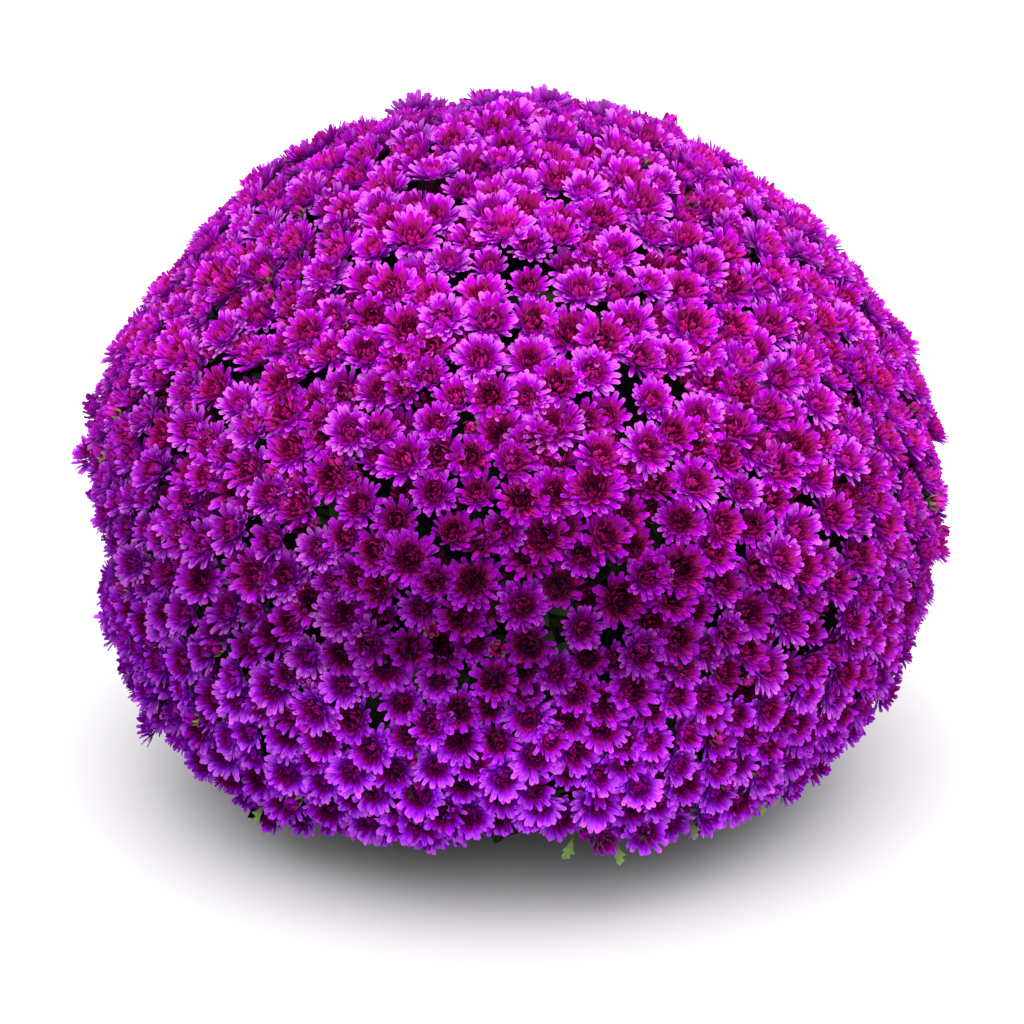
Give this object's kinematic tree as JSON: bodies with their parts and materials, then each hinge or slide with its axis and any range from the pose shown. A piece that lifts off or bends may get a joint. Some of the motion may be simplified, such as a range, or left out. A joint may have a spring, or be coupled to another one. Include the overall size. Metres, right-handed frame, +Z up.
{
  "type": "pot chrysanthemum",
  "caption": "Ball-shaped chrysanthemum plant covered in magenta-violet double blooms, on leafy stems in a plain round pot.",
  "frame": {"origin": "centre of the pot's base, on the surface that the pot stands on", "axes": "+Z up along the plant's axis; -Y is the front of the plant; +X is to the right seen from the front"},
  "size_m": [0.6018, 0.5971, 0.488],
  "materials": {
    "petal": "matt, softly sheened flower petals, magenta-violet with pale lilac tips and deep crimson hearts",
    "leaf_and_stem": "matt green leaves with paler veins on green to brown stems",
    "soil": "dark crumbly potting soil",
    "pot_plastic": "matt dark moulded plastic"
  },
  "bodies": {
    "root": {"pot": "pot_plastic", "soil": "soil", "leafy_stem_1": "leaf_and_stem", "leafy_stem_2": "leaf_and_stem", "leafy_stem_3": "leaf_and_stem", "leafy_stem_4": "leaf_and_stem", "leafy_stem_5": "leaf_and_stem", "leafy_stem_6": "leaf_and_stem", "bloom_spray_top": "petal", "bloom_spray_upper_1": "petal", "bloom_spray_upper_2": "petal", "bloom_spray_upper_3": "petal", "bloom_spray_upper_4": "petal", "bloom_spray_upper_5": "petal", "bloom_spray_middle_1": "petal", "bloom_spray_middle_2": "petal", "bloom_spray_middle_3": "petal", "bloom_spray_middle_4": "petal", "bloom_spray_middle_5": "petal", "bloom_spray_middle_6": "petal", "bloom_spray_lower_1": "petal", "bloom_spray_lower_2": "petal", "bloom_spray_lower_3": "petal", "bloom_spray_lower_4": "petal", "bloom_spray_lower_5": "petal", "bloom_spray_lower_6": "petal"}
  },
  "joints": []
}
